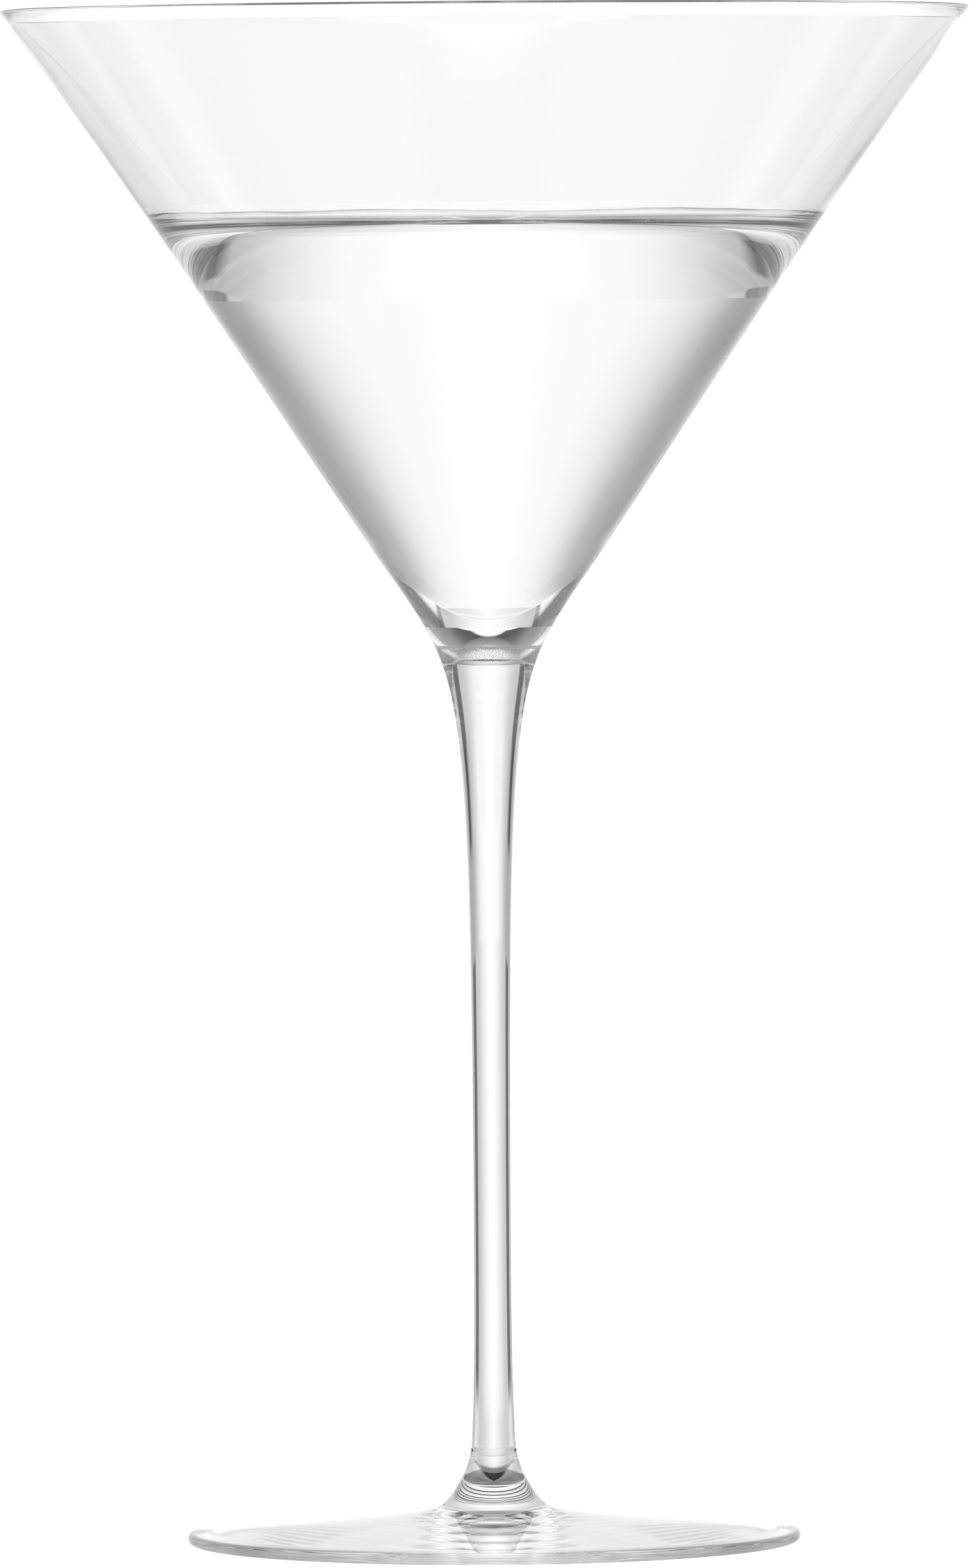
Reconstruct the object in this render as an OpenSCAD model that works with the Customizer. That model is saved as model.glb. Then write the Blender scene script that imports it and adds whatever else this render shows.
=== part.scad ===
// Stemmed martini glass: a conical bowl, a drawn stem and a spun foot, fused end to end, holding a clear drink.
// Millimetres. +Z is up along the axis. The origin is the centre of the foot's underside, on the table.

/* [Overall] */
// Height from the table to the rim
glass_h = 188; // [180:1:200]
// Outer diameter of the rim
rim_d = 118.5; // [110:0.5:126]
// Diameter of the foot
foot_d = 75.2; // [68:0.2:86]

/* [Bowl] */
// Depth of the inside, from the rim to its lowest point
bowl_depth = 74.9; // [73:0.1:76]
// Wall thickness at the rim, measured level
rim_wall = 0.6; // [0.5:0.1:1]
// Wall thickness at the heel, where the cone meets the rounded bottom, measured level
heel_wall = 2.8; // [2.4:0.1:3.2]

/* [Stem] */
// Diameter at the narrowest point
waist_d = 4.6; // [4:0.1:6]
// Height of the narrowest point above the table
waist_z = 37.5; // [30:0.5:50]
// Diameter under the bowl's flare
neck_d = 7.4; // [6.6:0.1:8]

/* [Foot] */
// Thickness of the rounded edge
edge_t = 1.5; // [1.2:0.1:2.2]
// Height of the hollow under the middle of the foot
hollow_h = 1.1; // [0.6:0.1:1.6]
// Width of the flat ring that stands on the table
rest_w = 2.4; // [1.5:0.1:4]

/* [Drink] */
// Level of the drink below the rim
level_drop = 26.6; // [20:0.2:45]
// How far the drink climbs the wall above its level
climb_h = 2.3; // [1:0.1:2.6]

/* [Hidden] */
$fn = 128;
// Steps in each curved stretch of an outline
STEPS = 14;
SEAM_STEPS = 8;
CLIMB_STEPS = 10;

GLASS = [0.84, 0.89, 0.92, 0.45];
FOOT_GLASS = [0.78, 0.85, 0.9, 0.6];
STEM_GLASS = [0.72, 0.8, 0.86, 0.75];
DRINK = [0.62, 0.8, 0.93, 0.7];

rim_r = rim_d / 2;
foot_r = foot_d / 2;
edge_r = edge_t / 2;
lip_r = rim_wall / 2;

// Fused joints: the height of each at the surface, and how far its rounded face dips at the axis
bowl_joint_z = glass_h - 78;
bowl_joint_dip = 1.7;
foot_joint_z = 11.4;
foot_joint_dip = 1;

// Where the flare of the bowl begins, under the straight cone
flare_z = glass_h - 68;
flare_r = 12.95;
neck_z = glass_h - 90;
ankle_z = 12;
ankle_r = waist_d / 2 + 0.44;
root_z = 4.55;
root_r = 6.65;
// The foot's top meets its rounded edge at this angle above level
edge_angle = 84;

// Inside of the bowl: lowest point, middle of the rounded bottom, and the heel where the cone begins
pit_z = glass_h - bowl_depth;
basin_z = pit_z + 4.1;
basin_r = 6.5;
heel_z = pit_z + 10.5;
heel_r = flare_r + (heel_z - flare_z) * tan(34.8) - heel_wall;

level_z = glass_h - level_drop;
contact_z = level_z + climb_h;

// A station of an outline: radius, height, lean of the outline from upright in degrees, reach below and above
OUTSIDE = [
    [rim_r, glass_h - lip_r, 36.8, 26.7, 0],
    [flare_r, flare_z, 34.8, 9.8, 8.8],
    [neck_d / 2, neck_z, 6.6, 8.9, 11.1],
    [waist_d / 2, waist_z, 0, 11.6, 38.7],
    [ankle_r, ankle_z, -3.8, 2.9, 5.1],
    [root_r, root_z, -62.1, 2, 1.65],
    [foot_r - edge_r + edge_r * cos(edge_angle), edge_r + edge_r * sin(edge_angle), -edge_angle, 0, 16]
];
INSIDE = [
    [rim_r - rim_wall, glass_h - lip_r, 37.1, 23, 0],
    [heel_r, heel_z, 36, 3, 23],
    [basin_r, basin_z, 47, 3.4, 3],
    [0, pit_z, 90, 0, 2.6]
];

// Point a reach of d along a station's outline, upwards if d is positive
function along(s, d) = [s[0] + d * sin(s[2]), s[1] + d * cos(s[2])];
// Point at t on the cubic curve through four points
function cubic(p, t) =
    (1 - t)^3 * p[0] + 3 * t * (1 - t)^2 * p[1] + 3 * t^2 * (1 - t) * p[2] + t^3 * p[3];
// Points from station a down to station b, without the last
function stretch(a, b) =
    let (p = [along(a, 0), along(a, -a[3]), along(b, b[4]), along(b, 0)])
    [for (i = [0 : STEPS - 1]) cubic(p, i / STEPS)];
// Points of a whole outline, from the top down
function outline(stations) = [
    for (i = [0 : len(stations) - 2]) each stretch(stations[i], stations[i + 1]),
    along(stations[len(stations) - 1], 0)
];
// Points of an arc round c
function arc(c, r, from, to, n) =
    [for (i = [0 : n]) let (a = from + (to - from) * i / n) c + r * [cos(a), sin(a)]];
// Radius of an outline at height z
function radius_at(points, z) = lookup(z, [for (p = points) [p[1], p[0]]]);
// The part of an outline between two heights, from the top down, with a point at each end
function part_of(points, top, bottom) = [
    [radius_at(points, top), top],
    for (p = points) if (p[1] < top - 0.01 && p[1] > bottom + 0.01) p,
    [radius_at(points, bottom), bottom]
];
function backwards(points) = [for (i = [len(points) - 1 : -1 : 0]) points[i]];
// Rounded face of a fused joint, from the surface in to the axis
function joint_face(r, z, dip) =
    let (ball_r = (r * r + dip * dip) / (2 * dip), spread = asin(r / ball_r))
    arc([0, z - dip + ball_r], ball_r, spread - 90, -90, SEAM_STEPS);
function without_ends(points) = [for (i = [1 : len(points) - 2]) points[i]];

outside = outline(OUTSIDE);
inside = outline(INSIDE);
bowl_joint = joint_face(radius_at(outside, bowl_joint_z), bowl_joint_z, bowl_joint_dip);
foot_joint = joint_face(radius_at(outside, foot_joint_z), foot_joint_z, foot_joint_dip);

// Free surface of the drink. Its slope falls from the wall to level, and its height above the level
// is its capillary length times twice the sine of half the slope.
wall_lean = 36;
wall_slope = 90 - wall_lean;
capillary_l = climb_h / (2 * sin(wall_slope / 2));
function climb_run(slope) = capillary_l * (ln(tan(slope / 4)) + 2 * cos(slope / 2));
function climb_point(slope) = [
    radius_at(inside, contact_z) - (climb_run(wall_slope) - climb_run(slope)),
    level_z + 2 * capillary_l * sin(slope / 2)
];
// The slope at which the surface is taken as level
FLAT_SLOPE = 1;
function slope_step(i) = wall_slope * pow(FLAT_SLOPE / wall_slope, i / CLIMB_STEPS);
climb = [for (i = [0 : CLIMB_STEPS]) climb_point(slope_step(i))];

module turned(points) {
    rotate_extrude() polygon(points);
}

module bowl() {
    lip = arc([rim_r - lip_r, glass_h - lip_r], lip_r, 180, 0, SEAM_STEPS);
    color(GLASS)
        turned(concat(
            backwards(inside),
            without_ends(lip),
            part_of(outside, glass_h - lip_r, bowl_joint_z),
            [for (i = [1 : SEAM_STEPS]) bowl_joint[i]]
        ));
}

module stem() {
    color(STEM_GLASS)
        turned(concat(
            backwards(bowl_joint),
            without_ends(part_of(outside, bowl_joint_z, foot_joint_z)),
            foot_joint
        ));
}

module foot() {
    top_z = edge_r + edge_r * sin(edge_angle);
    edge = arc([foot_r - edge_r, edge_r], edge_r, edge_angle, -90, SEAM_STEPS);
    rest_r = foot_r - edge_r - rest_w;
    hollow = [[rest_r, 0], [rest_r * 0.85, hollow_h * 0.4], [rest_r * 0.4, hollow_h], [0, hollow_h]];
    color(FOOT_GLASS)
        turned(concat(
            backwards(foot_joint),
            without_ends(part_of(outside, foot_joint_z, top_z)),
            edge,
            [for (i = [0 : STEPS]) cubic(hollow, i / STEPS)]
        ));
}

module drink() {
    color(DRINK)
        turned(concat(
            [[0, level_z]],
            backwards(climb),
            [for (p = inside) if (p[1] < contact_z - 0.01) p]
        ));
}

bowl();
stem();
foot();
drink();
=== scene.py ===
"""A stemmed martini glass with a clear drink in it, on a white light table.

Metres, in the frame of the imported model: +Z up the glass's axis, and the table at z = 0.
Every piece is turned about that axis from an outline of a few curves.
"""

import math

import bmesh
import bpy
from mathutils import Euler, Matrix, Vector, noise


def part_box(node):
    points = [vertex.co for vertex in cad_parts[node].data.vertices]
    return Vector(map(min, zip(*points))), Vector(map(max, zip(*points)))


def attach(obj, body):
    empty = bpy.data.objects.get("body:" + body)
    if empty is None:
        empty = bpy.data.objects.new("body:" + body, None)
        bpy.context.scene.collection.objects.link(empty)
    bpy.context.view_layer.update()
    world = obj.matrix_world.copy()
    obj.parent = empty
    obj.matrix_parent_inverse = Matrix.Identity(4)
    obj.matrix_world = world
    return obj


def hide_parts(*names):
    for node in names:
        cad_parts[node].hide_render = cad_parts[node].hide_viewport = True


MM = 0.001

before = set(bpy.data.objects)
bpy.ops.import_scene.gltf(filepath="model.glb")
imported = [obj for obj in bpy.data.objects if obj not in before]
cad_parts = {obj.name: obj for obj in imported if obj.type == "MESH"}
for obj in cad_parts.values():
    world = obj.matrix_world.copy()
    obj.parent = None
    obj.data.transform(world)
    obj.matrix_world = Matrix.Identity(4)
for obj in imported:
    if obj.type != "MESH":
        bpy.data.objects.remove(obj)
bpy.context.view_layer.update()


# ---------------------------------------------------------------- sizes, from the frame
def widest(node):
    """The largest distance from the axis to the CAD node's surface."""
    return max(math.hypot(v.co.x, v.co.y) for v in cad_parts[node].data.vertices)


bowl_low, bowl_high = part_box("bowl")
stem_low, stem_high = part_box("stem")
foot_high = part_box("foot")[1]
drink_low, drink_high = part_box("drink")

GLASS_H = bowl_high.z
RIM_R = widest("bowl")
FOOT_R = widest("foot")
BOWL_JOINT_Z = stem_high.z
BOWL_JOINT_DIP = stem_high.z - bowl_low.z
FOOT_JOINT_Z = foot_high.z
FOOT_JOINT_DIP = foot_high.z - stem_low.z
PIT_Z = drink_low.z
CONTACT_Z = drink_high.z

# Sizes that the frame doesn't tell, as in the part's source
LEVEL_DROP = 26.6 * MM
LEVEL_Z = GLASS_H - LEVEL_DROP
RIM_WALL = 0.6 * MM
HEEL_WALL = 2.8 * MM
LIP_R = RIM_WALL / 2
FLARE_Z = GLASS_H - 68 * MM
FLARE_R = 12.95 * MM
FLARE_LEAN = 34.8
NECK_Z = GLASS_H - 90 * MM
NECK_R = 3.7 * MM
WAIST_Z = 37.5 * MM
WAIST_R = 2.3 * MM
ANKLE_Z = 12 * MM
ANKLE_R = WAIST_R + 0.44 * MM
ROOT_Z = 4.55 * MM
ROOT_R = 6.65 * MM
EDGE_R = 0.75 * MM
EDGE_ANGLE = 84
HOLLOW_H = 1.1 * MM
REST_W = 2.4 * MM
HEEL_Z = PIT_Z + 10.5 * MM
HEEL_R = FLARE_R + (HEEL_Z - FLARE_Z) * math.tan(math.radians(FLARE_LEAN)) - HEEL_WALL
BASIN_Z = PIT_Z + 4.1 * MM
BASIN_R = 6.5 * MM

# Stations of the outlines: radius, height, lean from upright in degrees, reach below and above
EDGE_TURN = math.radians(EDGE_ANGLE)
OUTSIDE = [
    (RIM_R, GLASS_H - LIP_R, 36.8, 26.7 * MM, 0),
    (FLARE_R, FLARE_Z, FLARE_LEAN, 9.8 * MM, 8.8 * MM),
    (NECK_R, NECK_Z, 6.6, 8.9 * MM, 11.1 * MM),
    (WAIST_R, WAIST_Z, 0, 11.6 * MM, 38.7 * MM),
    (ANKLE_R, ANKLE_Z, -3.8, 2.9 * MM, 5.1 * MM),
    (ROOT_R, ROOT_Z, -62.1, 2 * MM, 1.65 * MM),
    (FOOT_R - EDGE_R + EDGE_R * math.cos(EDGE_TURN), EDGE_R + EDGE_R * math.sin(EDGE_TURN),
     -EDGE_ANGLE, 0, 16 * MM),
]
INSIDE = [
    (RIM_R - RIM_WALL, GLASS_H - LIP_R, 37.1, 23 * MM, 0),
    (HEEL_R, HEEL_Z, 36, 3 * MM, 23 * MM),
    (BASIN_R, BASIN_Z, 47, 3.4 * MM, 3 * MM),
    (0, PIT_Z, 90, 0, 2.6 * MM),
]
STEPS = 40
SEAM_STEPS = 10
SEGMENTS = 320


# ---------------------------------------------------------------- outlines, as lists of (r, z)
def along(station, reach):
    lean = math.radians(station[2])
    return Vector((station[0] + reach * math.sin(lean), station[1] + reach * math.cos(lean)))


def cubic(p, t):
    s = 1 - t
    return s**3 * p[0] + 3 * t * s * s * p[1] + 3 * t * t * s * p[2] + t**3 * p[3]


def outline(stations):
    points = []
    for a, b in zip(stations, stations[1:]):
        ends = [along(a, 0), along(a, -a[3]), along(b, b[4]), along(b, 0)]
        points += [cubic(ends, i / STEPS) for i in range(STEPS)]
    return points + [along(stations[-1], 0)]


def arc(centre, radius, start, end, steps):
    points = []
    for i in range(steps + 1):
        a = math.radians(start + (end - start) * i / steps)
        points.append(Vector((centre[0] + radius * math.cos(a), centre[1] + radius * math.sin(a))))
    return points


def radius_at(points, z):
    """Radius of a downward outline at height z, or at its nearer end past its ends."""
    if z >= points[0].y:
        return points[0].x
    for a, b in zip(points, points[1:]):
        if b.y <= z < a.y:
            return a.x + (b.x - a.x) * (z - a.y) / (b.y - a.y)
    return points[-1].x


def part_of(points, top, bottom):
    """The part of a downward outline between two heights, with a point at each end."""
    clear = 0.01 * MM
    inner = [p for p in points if bottom + clear < p.y < top - clear]
    return [
        Vector((radius_at(points, top), top)), *inner, Vector((radius_at(points, bottom), bottom))
    ]


def joint_face(r, z, dip):
    """Rounded face of a fused joint, from the surface in to the axis."""
    ball = (r * r + dip * dip) / (2 * dip)
    spread = math.degrees(math.asin(r / ball))
    return arc((0, z - dip + ball), ball, spread - 90, -90, SEAM_STEPS)


outside = outline(OUTSIDE)
inside = outline(INSIDE)
bowl_joint = joint_face(radius_at(outside, BOWL_JOINT_Z), BOWL_JOINT_Z, BOWL_JOINT_DIP)
foot_joint = joint_face(radius_at(outside, FOOT_JOINT_Z), FOOT_JOINT_Z, FOOT_JOINT_DIP)


# ---------------------------------------------------------------- the edge of the drink
# Slopes of the surface at the wall, and where its level part begins
WALL_SLOPE = math.radians(54)
FLAT_SLOPE = math.radians(0.5)
CLIMB_STEPS = 24
# Height of the surface's curved edge, and the film that the drink leaves on the wall above it: its
# thickness, the unevenness of that as a share, how many waves and where in the noise they lie,
# and the reach of its thin edge
MENISCUS_H = 1.45 * MM
FILM = 0.05 * MM
FILM_UNEVEN = 0.6
FILM_WAVES = (6, (2, 8, 1))
FILM_EDGE = 0.35 * MM
FILM_STEPS = 8
# The film's wavy upper edge: its middle below the CAD contact line, the height of its waves, and
# the waves as share, number and place in the noise
WAVE_DROP = 0.3 * MM
WAVE_H = 0.3 * MM
WAVES = [(1, 1.7, (0, 0, 0)), (0.5, 4.1, (9, 3, 5)), (0.3, 13, (0, 0, 0))]


def climb_run(slope):
    """How far a free surface runs from the level part to this slope, in capillary lengths."""
    return math.log(math.tan(slope / 4)) + 2 * math.cos(slope / 2)


def swing(angle, waves, shift):
    """Smooth noise round the axis, with more swings for more waves."""
    return noise.noise(Vector((math.cos(angle), math.sin(angle), 0)) * waves + Vector(shift))


def contact_height(angle):
    """Height of the wavy upper edge of the film."""
    wave = sum(share * swing(angle, waves, shift) for share, waves, shift in WAVES)
    return CONTACT_Z - WAVE_DROP + WAVE_H * wave


def film_depth(angle, below):
    """Thickness of the film at a distance below its upper edge."""
    body = FILM * (1 + FILM_UNEVEN * swing(angle, *FILM_WAVES))
    return body * math.sqrt(min(1.0, below / FILM_EDGE))


# ---------------------------------------------------------------- turning an outline into a mesh
# Edges that turn more than this are shaded sharp
SHARP_ANGLE = math.radians(30)


def turned(name, rings, place, face_kinds):
    """A closed solid of revolution. rings is its outline from axis to axis, place(i, angle) gives
    ring i's (r, z) at an angle, and face_kinds[i] is the material of the faces after ring i."""
    mesh = bpy.data.meshes.new(name)
    bm = bmesh.new()
    loops = []
    last = len(rings) - 1
    for i in range(len(rings)):
        if i in (0, last):
            loops.append([bm.verts.new((0, 0, place(i, 0)[1]))])
            continue
        loop = []
        for j in range(SEGMENTS):
            angle = 2 * math.pi * j / SEGMENTS
            r, z = place(i, angle)
            loop.append(bm.verts.new((r * math.cos(angle), r * math.sin(angle), z)))
        loops.append(loop)
    for i, (a, b) in enumerate(zip(loops, loops[1:])):
        for j in range(SEGMENTS):
            k = (j + 1) % SEGMENTS
            corners = [a[j % len(a)], a[k % len(a)], b[k % len(b)], b[j % len(b)]]
            face = bm.faces.new(list(dict.fromkeys(corners)))
            face.smooth = True
            face.material_index = face_kinds[i]
    bmesh.ops.recalc_face_normals(bm, faces=bm.faces)
    for edge in bm.edges:
        if len(edge.link_faces) == 2 and edge.calc_face_angle() > SHARP_ANGLE:
            edge.smooth = False
    bm.to_mesh(mesh)
    bm.free()
    piece = bpy.data.objects.new(name, mesh)
    bpy.context.scene.collection.objects.link(piece)
    return piece


def dress(piece, node, slot, *materials):
    """Give a piece its materials, in the order of its face kinds, and its place in the frame."""
    for material in materials:
        piece.data.materials.append(material)
    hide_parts(node)
    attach(piece, "root")


# ---------------------------------------------------------------- materials
# Indexes of refraction. A joint's is the ratio across it, so that it only just shows
GLASS_IOR = 1.52
DRINK_IOR = 1.345
JOINT_IOR = 1.006
# Light that crosses the drink unreflected is shaded as if the walls between these heights stood
# upright: up to a ring of the wall, and down to one height outside and another inside
STRAIGHT_DROP = 9 * MM
STRAIGHT_TOP_Z = min((p.y for p in inside), key=lambda z: abs(z - (LEVEL_Z - STRAIGHT_DROP)))
STRAIGHT_OUT_Z = PIT_Z - 0.8 * MM
STRAIGHT_IN_Z = PIT_Z + 1.5 * MM
# For that light, the drink's index at the wall rises from TOP_IOR to BOTTOM_IOR with depth
TOP_IOR = 1.27
TOP_IOR_Z = LEVEL_Z - 10.7 * MM
BOTTOM_IOR = 1.47
BOTTOM_IOR_Z = PIT_Z + 3 * MM
# Height and length of the waves in the glass and on the drink
RIPPLE = 0.012 * MM
RIPPLE_SIZE = 14 * MM


class Nodes:
    """Shader nodes of one tree, written as sums. A value is a number or another node's socket."""

    def __init__(self, tree):
        self.tree = tree

    def feed(self, sockets, values):
        for socket, value in zip(sockets, values):
            if isinstance(value, (int, float)):
                socket.default_value = value
            else:
                self.tree.links.new(value, socket)

    def maths(self, operation, *values):
        node = self.tree.nodes.new("ShaderNodeMath")
        node.operation = operation
        self.feed(node.inputs, values)
        return node.outputs[0]

    def step(self, value, start, end, low=0.0, high=1.0, kind="SMOOTHSTEP"):
        """low up to the start value, high from the end value, and a rise between."""
        node = self.tree.nodes.new("ShaderNodeMapRange")
        node.interpolation_type = kind
        self.feed(node.inputs, [value, start, end, low, high])
        return node.outputs[0]

    def mix(self, share, below, above):
        """below where the share is 0, above where it is 1, and a blend between."""
        node = self.tree.nodes.new("ShaderNodeMix")
        self.feed([node.inputs[0], node.inputs[2], node.inputs[3]], [share, below, above])
        return node.outputs[0]

    def over(self, below, above, value, start, end):
        """below up to the start value, above from the end value, and a smooth change between."""
        return self.mix(self.step(value, start, end), below, above)

    def ramp(self, angle, stops):
        """Brightness at an angle, straight between stops of (degrees, brightness)."""
        node = self.tree.nodes.new("ShaderNodeValToRGB")
        low, high = stops[0][0], stops[-1][0]
        elements = node.color_ramp.elements
        while len(elements) < len(stops):
            elements.new(0.5)
        for element, (degrees, value) in zip(elements, stops):
            element.position = (degrees - low) / (high - low)
            element.color = (value, value, value, 1)
        self.feed([node.inputs["Fac"]], [self.step(angle, low, high, kind="LINEAR")])
        return node.outputs["Color"]


def straighten(material, low, high, wetted):
    """Shade a wall between two heights as upright, for light that hasn't been reflected. On a
    dry wall that is only where it enters, or where it leaves after both wetted faces."""
    tree = material.node_tree
    nodes = Nodes(tree)
    shader = tree.nodes["Principled BSDF"]
    place = tree.nodes.new("ShaderNodeNewGeometry")
    axes = tree.nodes.new("ShaderNodeSeparateXYZ")
    tree.links.new(place.outputs["Position"], axes.inputs[0])
    height = axes.outputs["Z"]
    light = tree.nodes.new("ShaderNodeLightPath").outputs
    through = nodes.maths("LESS_THAN", light["Glossy Depth"], 0.5)
    if not wetted:
        crossings = light["Transmission Depth"]
        ends = nodes.maths("ADD", nodes.maths("LESS_THAN", crossings, 0.5),
                           nodes.maths("GREATER_THAN", crossings, 2.5))
        through = nodes.maths("MULTIPLY", through, ends)
    band = nodes.maths("MULTIPLY", nodes.maths("GREATER_THAN", height, low),
                       nodes.maths("LESS_THAN", height, high))
    lean = nodes.maths("SUBTRACT", 1.0, nodes.maths("MULTIPLY", band, through))
    scale = tree.nodes.new("ShaderNodeCombineXYZ")
    nodes.feed(scale.inputs, [1.0, 1.0, lean])
    normal = tree.nodes.new("ShaderNodeVectorMath")
    normal.operation = "MULTIPLY"
    rippled = shader.inputs["Normal"].links[0].from_socket
    nodes.feed(normal.inputs, [rippled, scale.outputs[0]])
    unit = tree.nodes.new("ShaderNodeVectorMath")
    unit.operation = "NORMALIZE"
    nodes.feed(unit.inputs, [normal.outputs[0]])
    nodes.feed([shader.inputs["Normal"]], [unit.outputs[0]])
    if wetted:
        deep = nodes.step(height, BOTTOM_IOR_Z, TOP_IOR_Z, GLASS_IOR / BOTTOM_IOR,
                          GLASS_IOR / TOP_IOR, "LINEAR")
        ior = nodes.mix(through, GLASS_IOR / DRINK_IOR, deep)
        nodes.feed([shader.inputs["IOR"]], [ior])


def clear_material(name, ior):
    """A clear, polished material with a faint ripple."""
    material = bpy.data.materials.new(name)
    material.use_nodes = True
    nodes = material.node_tree.nodes
    links = material.node_tree.links
    shader = nodes["Principled BSDF"]
    shader.inputs["Base Color"].default_value = (1, 1, 1, 1)
    shader.inputs["Roughness"].default_value = 0.0
    shader.inputs["IOR"].default_value = ior
    shader.inputs["Transmission Weight"].default_value = 1.0
    place = nodes.new("ShaderNodeTexCoord")
    waves = nodes.new("ShaderNodeTexNoise")
    waves.inputs["Scale"].default_value = 1 / RIPPLE_SIZE
    waves.inputs["Detail"].default_value = 1.0
    bump = nodes.new("ShaderNodeBump")
    bump.inputs["Strength"].default_value = 1.0
    bump.inputs["Distance"].default_value = RIPPLE
    links.new(place.outputs["Object"], waves.inputs["Vector"])
    links.new(waves.outputs["Fac"], bump.inputs["Height"])
    links.new(bump.outputs["Normal"], shader.inputs["Normal"])
    return material


def see_through(name):
    """Faces where two clear things of one kind touch, which light crosses unbent."""
    material = bpy.data.materials.new(name)
    material.use_nodes = True
    nodes = material.node_tree.nodes
    nodes.remove(nodes["Principled BSDF"])
    shader = nodes.new("ShaderNodeBsdfTransparent")
    material.node_tree.links.new(shader.outputs[0], nodes["Material Output"].inputs["Surface"])
    return material


glass = clear_material("clear_glass", GLASS_IOR)
wetted = clear_material("wetted_glass", GLASS_IOR / DRINK_IOR)
wetted_deep = clear_material("wetted_glass_deep", GLASS_IOR / DRINK_IOR)
bowl_side = clear_material("bowl_side_glass", GLASS_IOR)
straighten(wetted_deep, STRAIGHT_IN_Z, STRAIGHT_TOP_Z, wetted=True)
straighten(bowl_side, STRAIGHT_OUT_Z, STRAIGHT_TOP_Z, wetted=False)
joint = clear_material("fused_joint", JOINT_IOR)
same_glass = see_through("same_glass")
free_surface = clear_material("drink_surface", DRINK_IOR)
against_wall = see_through("drink_at_wall")


# ---------------------------------------------------------------- bowl
# The bowl's kinds of faces: plain, wetted, and at the joint, then where a wetted or an outer wall
# is shaded as upright
PLAIN, WET, FUSED, WET_DEEP, OUTER = range(5)
lip = arc((RIM_R - LIP_R, GLASS_H - LIP_R), LIP_R, 180, 0, SEAM_STEPS)
wall_rings = list(reversed(inside))
contact_ring = min(range(len(wall_rings)), key=lambda i: abs(wall_rings[i].y - CONTACT_Z))
WAVE_REACH = 6 * MM


def on_wall(point, angle):
    """A point of the bowl's inside, slid along the wall so that one ring follows the wet line."""
    shift = contact_height(angle) - wall_rings[contact_ring].y
    near = max(0.0, 1 - abs(point.y - wall_rings[contact_ring].y) / WAVE_REACH)
    z = point.y + shift * near * near * (3 - 2 * near)
    return radius_at(inside, z), z


bowl_outside = part_of(outside, GLASS_H - LIP_R, BOWL_JOINT_Z)
bowl_rings = wall_rings + lip[1:-1] + bowl_outside + bowl_joint[1:]
deep_ring = min(range(len(wall_rings)), key=lambda i: abs(wall_rings[i].y - STRAIGHT_TOP_Z))
bowl_kinds = [WET_DEEP] * deep_ring + [WET] * (contact_ring - deep_ring)
bowl_kinds += [PLAIN] * (len(wall_rings) + len(lip) - 2 - len(bowl_kinds))
bowl_kinds += [OUTER] * (len(bowl_rings) - len(bowl_kinds) - len(bowl_joint) + 1)
bowl_kinds += [FUSED] * (len(bowl_joint) - 1)


def bowl_place(i, angle):
    if 0 < i < len(wall_rings) - 1 and abs(wall_rings[i].y - CONTACT_Z) < WAVE_REACH:
        return on_wall(wall_rings[i], angle)
    return bowl_rings[i]


bowl = turned("glass_bowl", bowl_rings, bowl_place, bowl_kinds)
dress(bowl, "bowl", "bowl_glass", glass, wetted, joint, wetted_deep, bowl_side)


# ---------------------------------------------------------------- stem
# Kinds of faces of the stem and of the foot
CLEAR, AT_JOINT = range(2)
stem_rings = list(reversed(bowl_joint)) + part_of(outside, BOWL_JOINT_Z, FOOT_JOINT_Z)[1:-1]
stem_rings += foot_joint
stem_kinds = [AT_JOINT] * (len(bowl_joint) - 1)
stem_kinds += [CLEAR] * (len(stem_rings) - len(bowl_joint) - len(foot_joint) + 1)
stem_kinds += [AT_JOINT] * (len(foot_joint) - 1)
stem = turned("glass_stem", stem_rings, lambda i, angle: stem_rings[i], stem_kinds)
dress(stem, "stem", "stem_glass", glass, same_glass)


# ---------------------------------------------------------------- foot
TOP_EDGE_Z = EDGE_R + EDGE_R * math.sin(EDGE_TURN)
REST_R = FOOT_R - EDGE_R - REST_W
# Control points of the hollow underside's curve, from the resting ring to the axis
hollow = [
    Vector((REST_R, 0)), Vector((REST_R * 0.85, HOLLOW_H * 0.4)),
    Vector((REST_R * 0.4, HOLLOW_H)), Vector((0, HOLLOW_H)),
]
foot_rings = list(reversed(foot_joint)) + part_of(outside, FOOT_JOINT_Z, TOP_EDGE_Z)[1:-1]
foot_rings += arc((FOOT_R - EDGE_R, EDGE_R), EDGE_R, EDGE_ANGLE, -90, SEAM_STEPS)
foot_rings += [cubic(hollow, i / STEPS) for i in range(STEPS + 1)]
foot_kinds = [AT_JOINT] * (len(foot_joint) - 1)
foot_kinds += [CLEAR] * (len(foot_rings) - len(foot_kinds))
foot = turned("glass_foot", foot_rings, lambda i, angle: foot_rings[i], foot_kinds)
dress(foot, "foot", "foot_glass", glass, joint)


# ---------------------------------------------------------------- drink
# Kinds of faces of the drink: against the bowl, and open to the air
AT_WALL, OPEN = range(2)
WALL_GAP = 0.02 * MM
LEVEL_RINGS = 12
flatter = FLAT_SLOPE / WALL_SLOPE
slopes = [WALL_SLOPE * flatter ** (i / CLIMB_STEPS) for i in range(CLIMB_STEPS + 1)]
drink_wall = wall_rings[: contact_ring + 1]
drink_rings = drink_wall + list(range(FILM_STEPS)) + slopes[1:] + list(range(LEVEL_RINGS))


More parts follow.
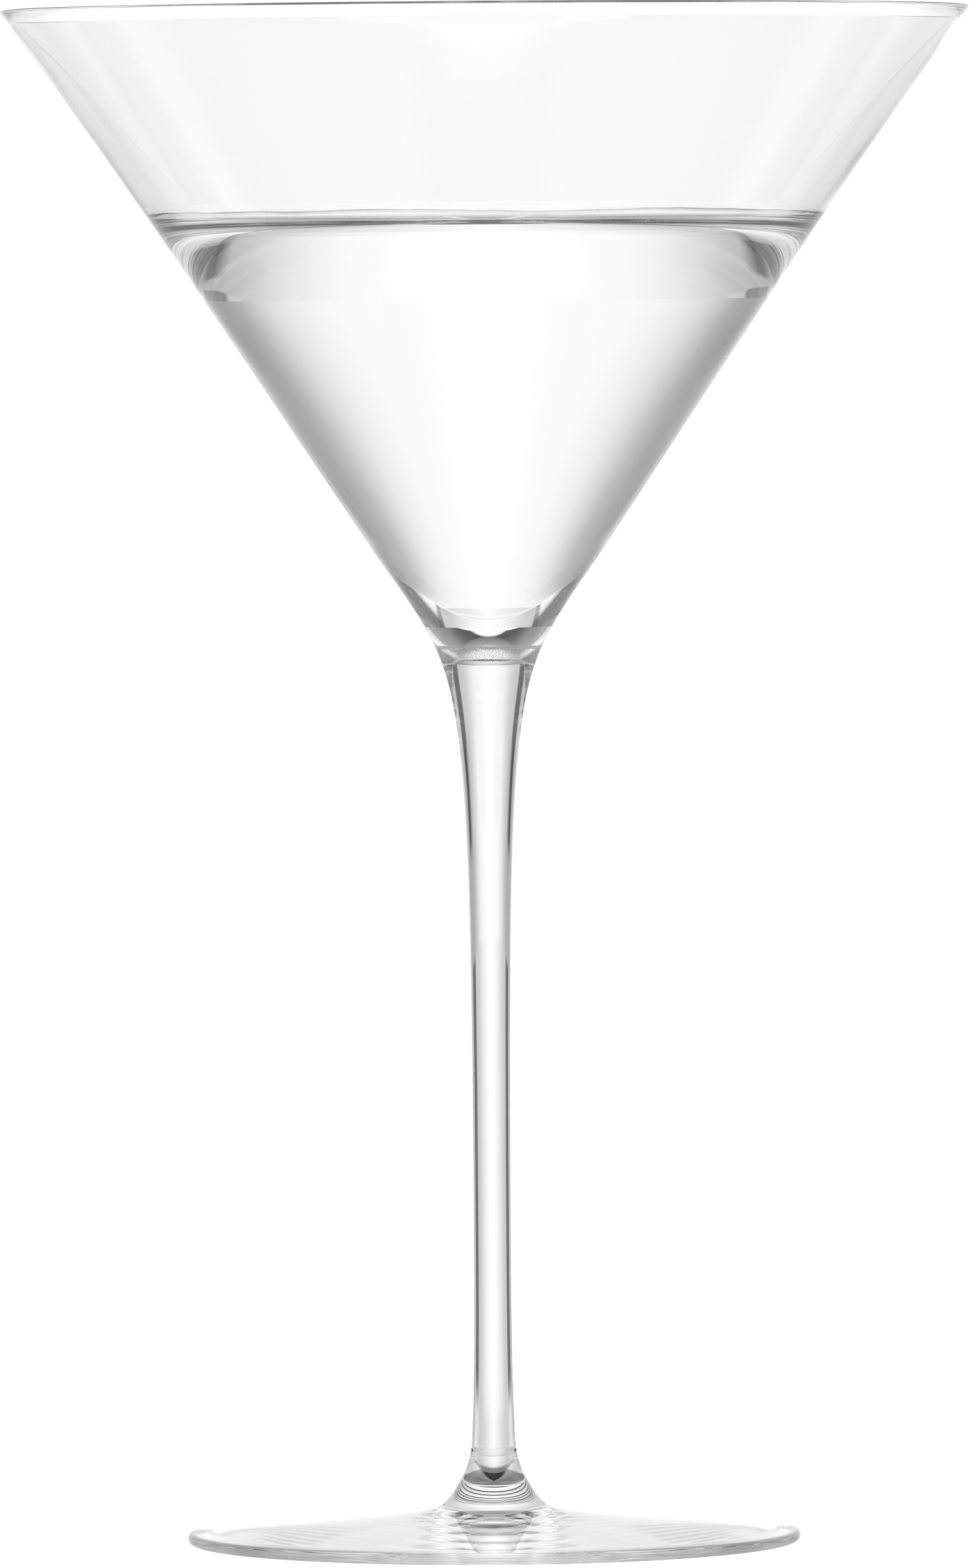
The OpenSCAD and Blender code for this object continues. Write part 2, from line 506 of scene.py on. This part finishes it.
def drink_place(i, angle):
    length = MENISCUS_H / (2 * math.sin(WALL_SLOPE / 2))
    if i < len(drink_wall):
        r, z = on_wall(drink_wall[i], angle)
        return (r - WALL_GAP if i else 0), (z if i else z + WALL_GAP)
    i -= len(drink_wall)
    low = LEVEL_Z + MENISCUS_H
    film_h = contact_height(angle) - low
    edge = radius_at(inside, low) - WALL_GAP - film_depth(angle, film_h)
    if i < FILM_STEPS:
        below = film_h * (i + 1) / FILM_STEPS
        z = low + film_h - below
        return radius_at(inside, z) - WALL_GAP - film_depth(angle, below), z
    i -= FILM_STEPS
    if i < CLIMB_STEPS:
        slope = slopes[i + 1]
        r = edge - length * (climb_run(WALL_SLOPE) - climb_run(slope))
        return r, LEVEL_Z + 2 * length * math.sin(slope / 2)
    i -= CLIMB_STEPS
    r = edge - length * (climb_run(WALL_SLOPE) - climb_run(FLAT_SLOPE))
    return r * (1 - (i + 1) / LEVEL_RINGS), LEVEL_Z


drink_kinds = [AT_WALL] * contact_ring + [OPEN] * (len(drink_rings) - contact_ring)
drink = turned("drink_pool", drink_rings, drink_place, drink_kinds)
dress(drink, "drink", "drink", against_wall, free_surface)


# ---------------------------------------------------------------- stage: floor and studio
FLOOR_R = 0.4
FLOOR_SIDES = 256
FLOOR_GAP = 0.02 * MM

# The studio has four white walls, with darker corners this many degrees from their middles
CORNER = 45.0
# Brightness by angle from the middle of the nearest wall, in degrees: the walls as a whole, level
# with the camera, above that, and high up on the camera's half, then the skirt below them and the
# base below that
WALLS = [
    (0, 1.12), (8, 1.04), (12, 0.98), (15, 0.93), (18, 0.86), (22, 0.75), (26, 0.66),
    (31, 0.6), (36.5, 0.56), (38.5, 0.12), (45, 0.1),
]
WALLS_AT_EYE = [
    (0, 1.12), (9, 1.06), (14, 1.02), (18, 0.94), (21, 0.86), (24, 0.76), (27, 0.66),
    (30, 0.57), (33, 0.49), (36, 0.45), (39, 0.42), (45, 0.4),
]
WALLS_ABOVE_EYE = [
    (0, 1.1), (4, 1.1), (8, 1.02), (18, 0.95), (24, 0.76), (30, 0.6), (36, 0.48), (40, 0.2),
    (43, 0.03), (45, 0.03),
]
WALLS_BY_CAMERA = [(0, 1.06), (15, 0.94), (22, 0.75), (31, 0.6), (45, 0.6)]
SKIRT = [(0, 1.08), (10, 0.9), (20, 0.7), (30, 0.6), (45, 0.85)]
BASE = [(0, 0.2), (20, 0.2), (45, 0.3)]
# Brightness of the ceiling by height above the horizon, in degrees
CEILING = [(36, 0.5), (42, 0.38), (50, 0.3), (58, 0.2), (66, 0.1), (71, 0.1), (73, 1.1), (90, 1.1)]
# Share of the light that is left on the camera's side
CAMERA_SIDE = 0.05
# Heights in degrees over which one of these gives way to the next, from below upwards
BASE_TO_SKIRT = (-47, -40)
SKIRT_TO_WALLS = (-7, -5.2)
WALLS_TO_EYE = (-1.35, -1.2)
EYE_TO_ABOVE = (0.5, 1.5)
ABOVE_TO_HIGH = (6, 9)
WALLS_TO_CEILING = (34, 40)
# Bearings from straight behind the glass, in degrees, over which the walls change sides
TO_CAMERA_HALF = (88, 92)
TO_CAMERA_SIDE = (138, 150)
# The camera's side starts nearer by this many degrees, above these heights
NEARER = 8.0
NEARER_FROM = (-9, -5)


def make_floor():
    """A white disc that glows, and that only the camera sees."""
    bpy.ops.mesh.primitive_circle_add(
        vertices=FLOOR_SIDES, radius=FLOOR_R, fill_type="NGON", location=(0, 0, -FLOOR_GAP)
    )
    floor = bpy.context.object
    floor.name = "white_floor"
    material = bpy.data.materials.new("white_acrylic")
    material.use_nodes = True
    shader = material.node_tree.nodes["Principled BSDF"]
    shader.inputs["Base Color"].default_value = (0.9, 0.9, 0.9, 1)
    shader.inputs["Roughness"].default_value = 0.6
    shader.inputs["Emission Color"].default_value = (1, 1, 1, 1)
    shader.inputs["Emission Strength"].default_value = 1.0
    floor.data.materials.append(material)
    floor.visible_transmission = False
    floor.visible_glossy = False


def make_world():
    """Light the glass by direction, from the studio, and show the camera plain white."""
    world = bpy.data.worlds.new("studio")
    world.use_nodes = True
    tree = world.node_tree
    studio = Nodes(tree)
    degrees = 180 / math.pi
    axes = tree.nodes.new("ShaderNodeSeparateXYZ")
    tree.links.new(tree.nodes.new("ShaderNodeTexCoord").outputs["Generated"], axes.inputs[0])
    x, y, z = axes.outputs
    height = studio.maths("MULTIPLY", studio.maths("ARCSINE", z), degrees)
    aside = studio.maths("ARCTAN2", studio.maths("ABSOLUTE", x), y)
    bearing = studio.maths("MULTIPLY", aside, degrees)
    turn = studio.maths("PINGPONG", bearing, CORNER)
    plain = studio.ramp(turn, WALLS)
    high = studio.over(plain, studio.ramp(turn, WALLS_BY_CAMERA), bearing, *TO_CAMERA_HALF)
    middle = studio.over(plain, studio.ramp(turn, WALLS_AT_EYE), height, *WALLS_TO_EYE)
    middle = studio.over(middle, studio.ramp(turn, WALLS_ABOVE_EYE), height, *EYE_TO_ABOVE)
    middle = studio.over(middle, high, height, *ABOVE_TO_HIGH)
    low = studio.over(studio.ramp(turn, BASE), studio.ramp(turn, SKIRT), height, *BASE_TO_SKIRT)
    middle = studio.over(low, middle, height, *SKIRT_TO_WALLS)
    behind = studio.maths("ADD", bearing, studio.step(height, *NEARER_FROM, 0.0, NEARER))
    share = studio.over(1.0, CAMERA_SIDE, behind, *TO_CAMERA_SIDE)
    middle = studio.maths("MULTIPLY", middle, share)
    light = studio.over(middle, studio.ramp(height, CEILING), height, *WALLS_TO_CEILING)
    seen = tree.nodes.new("ShaderNodeLightPath").outputs["Is Camera Ray"]
    light = studio.maths("MAXIMUM", light, seen)
    tree.links.new(light, tree.nodes["Background"].inputs["Color"])
    bpy.context.scene.world = world


make_floor()
make_world()


# ---------------------------------------------------------------- camera
# SEEN_H is the height that the picture spans at the point that the camera is aimed at
CAMERA_DISTANCE = 2.08
CAMERA_Z = 159 * MM
AIM = Vector((-0.6 * MM, 0, 93 * MM))
SEEN_H = 192 * MM
LONG_SIDE = 36.0
ROLL = math.radians(0.38)


def make_camera():
    data = bpy.data.cameras.new("camera")
    camera = bpy.data.objects.new("camera", data)
    bpy.context.scene.collection.objects.link(camera)
    camera.location = (AIM.x, -CAMERA_DISTANCE, CAMERA_Z)
    toward = AIM - camera.location
    camera.rotation_mode = "QUATERNION"
    roll = Euler((0, 0, -ROLL)).to_quaternion()
    camera.rotation_quaternion = toward.to_track_quat("-Z", "Y") @ roll
    data.sensor_width = LONG_SIDE
    data.lens = LONG_SIDE * toward.length / SEEN_H
    data.clip_start = 0.05
    data.clip_end = 50
    bpy.context.scene.camera = camera


make_camera()

BOUNCES = 40
TRANSPARENT_BOUNCES = 64
scene = bpy.context.scene
scene.view_settings.view_transform = "Standard"
scene.cycles.max_bounces = BOUNCES
scene.cycles.transmission_bounces = BOUNCES
scene.cycles.glossy_bounces = BOUNCES
scene.cycles.transparent_max_bounces = TRANSPARENT_BOUNCES
scene.cycles.blur_glossy = 0.0
